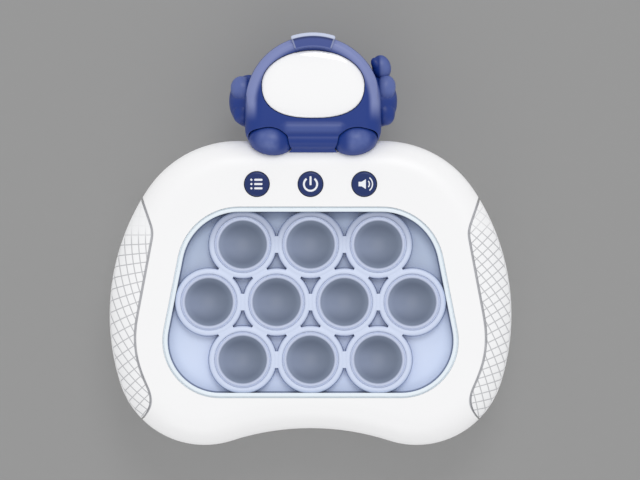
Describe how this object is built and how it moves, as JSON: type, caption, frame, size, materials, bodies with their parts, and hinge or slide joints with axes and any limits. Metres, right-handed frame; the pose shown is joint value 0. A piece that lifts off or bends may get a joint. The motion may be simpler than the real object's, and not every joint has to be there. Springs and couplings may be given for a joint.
{
  "type": "quick push game",
  "caption": "Hand-held push game: white casing with side grips, a window of round bubble keys, round control buttons and a blue space helmet on its top edge.",
  "frame": {"origin": "middle of the flat back that the console rests on, under the centre of its box", "axes": "+Z out of the front face, +Y towards the helmet, +X to the right as seen from the front"},
  "size_m": [0.17, 0.1742, 0.0451],
  "materials": {
    "cell_wrap": "plain shrink wrap",
    "contact_steel": "nickel-plated spring steel",
    "white_abs": "satin-gloss white ABS",
    "foam_grey": "open-cell foam",
    "screw_steel": "zinc-plated steel",
    "lead_red": "insulated stranded wire",
    "black_part": "moulded black",
    "panel_blue": "periwinkle gloss plastic",
    "bubble_silicone": "smoky translucent silicone",
    "lamp_clear": "clear epoxy",
    "mat_silicone": "soft matt silicone",
    "helmet_blue": "deep blue gloss plastic",
    "grip_white": "matt white with a fine moulded grid",
    "circuit_green": "solder-masked board",
    "button_navy": "navy gloss plastic with a printed white sign",
    "magnet_steel": "plated ferrite magnet and yoke",
    "paper_cone": "pressed paper cone",
    "visor_white": "high-gloss white plastic",
    "bezel_pale": "pale ice-blue gloss plastic"
  },
  "bodies": {
    "console": {"battery_1": "cell_wrap", "battery_2": "cell_wrap", "battery_3": "cell_wrap", "battery_contacts_left": "contact_steel", "battery_contacts_right": "contact_steel", "battery_leads": "lead_red", "board_parts": "black_part", "board_screws": "screw_steel", "bubble_frame": "panel_blue", "bubble_leds": "lamp_clear", "bubble_mat": "mat_silicone", "bubble_switches": "black_part", "button_switches": "black_part", "casing_screws": "screw_steel", "front_shell": "white_abs", "helmet_front": "helmet_blue", "helmet_joint_screws": "screw_steel", "helmet_rear": "helmet_blue", "helmet_screws": "screw_steel", "left_grip": "grip_white", "main_board": "circuit_green", "panel_screws": "screw_steel", "rear_shell": "white_abs", "right_grip": "grip_white", "speaker_basket": "magnet_steel", "speaker_cone": "paper_cone", "speaker_gasket": "foam_grey", "speaker_leads": "lead_red", "speaker_magnet": "magnet_steel", "speaker_screws": "screw_steel", "visor": "visor_white", "window_bezel": "bezel_pale"},
    "bubble_01": {"bubble_key_01": "bubble_silicone"},
    "bubble_02": {"bubble_key_02": "bubble_silicone"},
    "bubble_03": {"bubble_key_03": "bubble_silicone"},
    "bubble_04": {"bubble_key_04": "bubble_silicone"},
    "bubble_05": {"bubble_key_05": "bubble_silicone"},
    "bubble_06": {"bubble_key_06": "bubble_silicone"},
    "bubble_07": {"bubble_key_07": "bubble_silicone"},
    "bubble_08": {"bubble_key_08": "bubble_silicone"},
    "bubble_09": {"bubble_key_09": "bubble_silicone"},
    "bubble_10": {"bubble_key_10": "bubble_silicone"},
    "menu_push": {"menu_button": "button_navy"},
    "power_push": {"power_button": "button_navy"},
    "volume_push": {"volume_button": "button_navy"},
    "battery_door": {"battery_cover": "white_abs", "battery_cover_screws": "screw_steel", "battery_cover_foam": "foam_grey"}
  },
  "joints": [
    {"name": "bubble_01_press", "type": "slide", "parent": "console", "child": "bubble_01", "axis": [0, 0, -1], "range_m": [0, 0.003], "stiffness_N_per_m": 400},
    {"name": "bubble_02_press", "type": "slide", "parent": "console", "child": "bubble_02", "axis": [0, 0, -1], "range_m": [0, 0.003], "stiffness_N_per_m": 400},
    {"name": "bubble_03_press", "type": "slide", "parent": "console", "child": "bubble_03", "axis": [0, 0, -1], "range_m": [0, 0.003], "stiffness_N_per_m": 400},
    {"name": "bubble_04_press", "type": "slide", "parent": "console", "child": "bubble_04", "axis": [0, 0, -1], "range_m": [0, 0.003], "stiffness_N_per_m": 400},
    {"name": "bubble_05_press", "type": "slide", "parent": "console", "child": "bubble_05", "axis": [0, 0, -1], "range_m": [0, 0.003], "stiffness_N_per_m": 400},
    {"name": "bubble_06_press", "type": "slide", "parent": "console", "child": "bubble_06", "axis": [0, 0, -1], "range_m": [0, 0.003], "stiffness_N_per_m": 400},
    {"name": "bubble_07_press", "type": "slide", "parent": "console", "child": "bubble_07", "axis": [0, 0, -1], "range_m": [0, 0.003], "stiffness_N_per_m": 400},
    {"name": "bubble_08_press", "type": "slide", "parent": "console", "child": "bubble_08", "axis": [0, 0, -1], "range_m": [0, 0.003], "stiffness_N_per_m": 400},
    {"name": "bubble_09_press", "type": "slide", "parent": "console", "child": "bubble_09", "axis": [0, 0, -1], "range_m": [0, 0.003], "stiffness_N_per_m": 400},
    {"name": "bubble_10_press", "type": "slide", "parent": "console", "child": "bubble_10", "axis": [0, 0, -1], "range_m": [0, 0.003], "stiffness_N_per_m": 400},
    {"name": "menu_press", "type": "slide", "parent": "console", "child": "menu_push", "axis": [0, 0, -1], "range_m": [0, 0.0008], "stiffness_N_per_m": 1200},
    {"name": "power_press", "type": "slide", "parent": "console", "child": "power_push", "axis": [0, 0, -1], "range_m": [0, 0.0008], "stiffness_N_per_m": 1200},
    {"name": "volume_press", "type": "slide", "parent": "console", "child": "volume_push", "axis": [0, 0, -1], "range_m": [0, 0.0008], "stiffness_N_per_m": 1200},
    {"name": "battery_door_lift", "type": "slide", "parent": "console", "child": "battery_door", "axis": [0, 0, -1], "range_m": [0, 0.02]}
  ]
}
